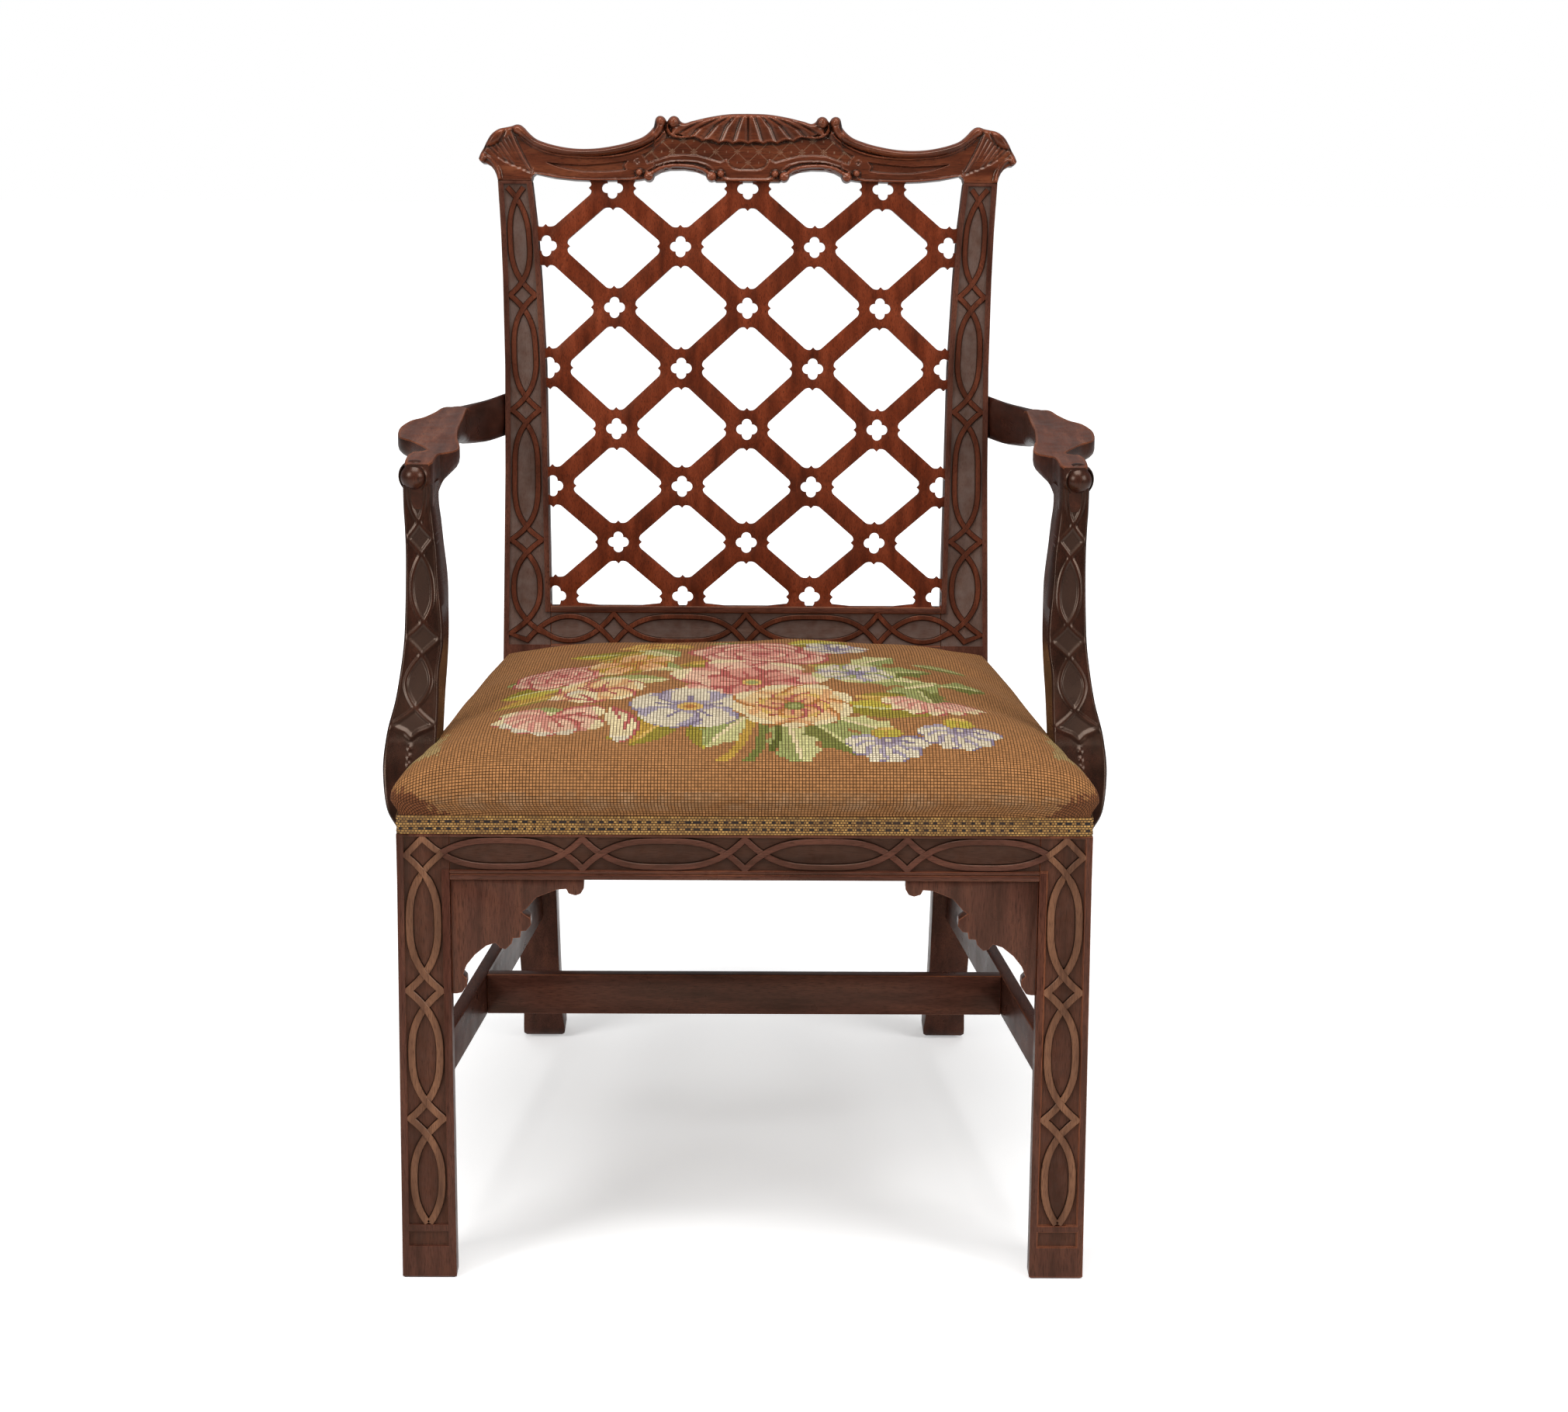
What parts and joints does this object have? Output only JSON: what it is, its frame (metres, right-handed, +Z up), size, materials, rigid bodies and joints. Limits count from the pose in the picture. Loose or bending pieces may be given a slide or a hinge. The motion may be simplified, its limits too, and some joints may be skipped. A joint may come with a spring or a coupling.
{
  "type": "wooden armchair",
  "caption": "Open armchair with a pierced wooden lattice back, carved crest, square front legs joined by stretchers, and an over-upholstered seat.",
  "frame": {"origin": "on the floor, below the middle of the chair's outline", "axes": "+X to the right as seen from the front, +Y from the front to the back, +Z up; the chair faces -Y"},
  "size_m": [0.6784, 0.69, 1.0165],
  "materials": {
    "mahogany": "polished, dark red-brown",
    "lattice_mahogany": "polished, a little lighter and redder",
    "beech_block": "plain, unpolished",
    "needlepoint_wool": "woven wool on canvas, matte",
    "gold_braid": "woven braid, matte",
    "horsehair": "matte",
    "jute_webbing": "woven, matte",
    "hessian": "woven, matte",
    "screw_steel": "satin",
    "glide_metal": "dull, tarnished"
  },
  "bodies": {
    "root": {"arm_left": "mahogany", "arm_right": "mahogany", "arm_screw_left": "screw_steel", "arm_screw_right": "screw_steel", "arm_support_left": "mahogany", "arm_support_right": "mahogany", "back_post_left": "mahogany", "back_post_right": "mahogany", "back_seat_rail": "mahogany", "base_cloth": "hessian", "block_screw_front_left_1": "screw_steel", "block_screw_front_left_2": "screw_steel", "block_screw_front_right_1": "screw_steel", "block_screw_front_right_2": "screw_steel", "block_screw_rear_left_1": "screw_steel", "block_screw_rear_left_2": "screw_steel", "block_screw_rear_right_1": "screw_steel", "block_screw_rear_right_2": "screw_steel", "corner_block_front_left": "beech_block", "corner_block_front_right": "beech_block", "corner_block_rear_left": "beech_block", "corner_block_rear_right": "beech_block", "crest_rail": "mahogany", "cross_stretcher": "mahogany", "front_bracket_left": "mahogany", "front_bracket_right": "mahogany", "front_leg_left": "mahogany", "front_leg_right": "mahogany", "front_rail": "mahogany", "gimp_front": "gold_braid", "gimp_side_left": "gold_braid", "gimp_side_right": "gold_braid", "lattice_board_1": "lattice_mahogany", "lattice_board_2": "lattice_mahogany", "lattice_board_3": "lattice_mahogany", "lattice_board_4": "lattice_mahogany", "lattice_board_5": "lattice_mahogany", "lattice_board_6": "lattice_mahogany", "lower_back_rail": "mahogany", "needlepoint_cover": "needlepoint_wool", "rear_glide_left": "glide_metal", "rear_glide_right": "glide_metal", "seat_stuffing": "horsehair", "side_rail_left": "mahogany", "side_rail_right": "mahogany", "side_stretcher_left": "mahogany", "side_stretcher_right": "mahogany", "support_screw_left_1": "screw_steel", "support_screw_left_2": "screw_steel", "support_screw_right_1": "screw_steel", "support_screw_right_2": "screw_steel", "webbing_cross_1": "jute_webbing", "webbing_cross_2": "jute_webbing", "webbing_cross_3": "jute_webbing", "webbing_long_1": "jute_webbing", "webbing_long_2": "jute_webbing", "webbing_long_3": "jute_webbing", "webbing_long_4": "jute_webbing"}
  },
  "joints": []
}
